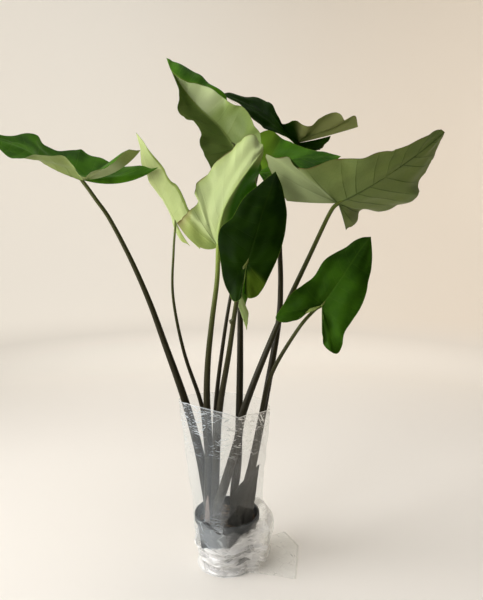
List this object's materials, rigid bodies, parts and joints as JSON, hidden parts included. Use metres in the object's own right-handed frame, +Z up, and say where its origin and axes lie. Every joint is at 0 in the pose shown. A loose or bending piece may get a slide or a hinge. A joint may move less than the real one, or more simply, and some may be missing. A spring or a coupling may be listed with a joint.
{
  "type": "potted alocasia",
  "caption": "Tall leafy pot plant: big arrow-shaped blades on long smooth petioles, rising from a round nursery pot of soil that stands in a short clear film sleeve.",
  "frame": {"origin": "middle of the pot's flat underside, on the floor", "axes": "+Z up, +Y from the plant's front to its back, +X to the right as seen from its front"},
  "size_m": [1.0224, 0.4171, 1.2994],
  "materials": {
    "blade": "smooth, satin",
    "petiole": "smooth, satin",
    "green_petiole": "smooth, satin",
    "pot": "smooth, dull",
    "soil": "rough, crumbly",
    "dry_sheath": "dry, papery",
    "film": "clear, glossy, creased"
  },
  "bodies": {
    "root": {"nursery_pot": "pot", "potting_soil": "soil", "petiole_1": "petiole", "blade_1": "blade", "petiole_2": "petiole", "blade_2": "blade", "petiole_3": "petiole", "blade_3": "blade", "petiole_4": "green_petiole", "blade_4": "blade", "petiole_5": "petiole", "blade_5": "blade", "petiole_6": "petiole", "blade_6": "blade", "petiole_7": "petiole", "blade_7": "blade", "petiole_8": "petiole", "blade_8": "blade", "petiole_9": "petiole", "blade_9": "blade", "dry_sheath_1": "dry_sheath", "dry_sheath_2": "dry_sheath", "clear_sleeve": "film"}
  },
  "joints": []
}
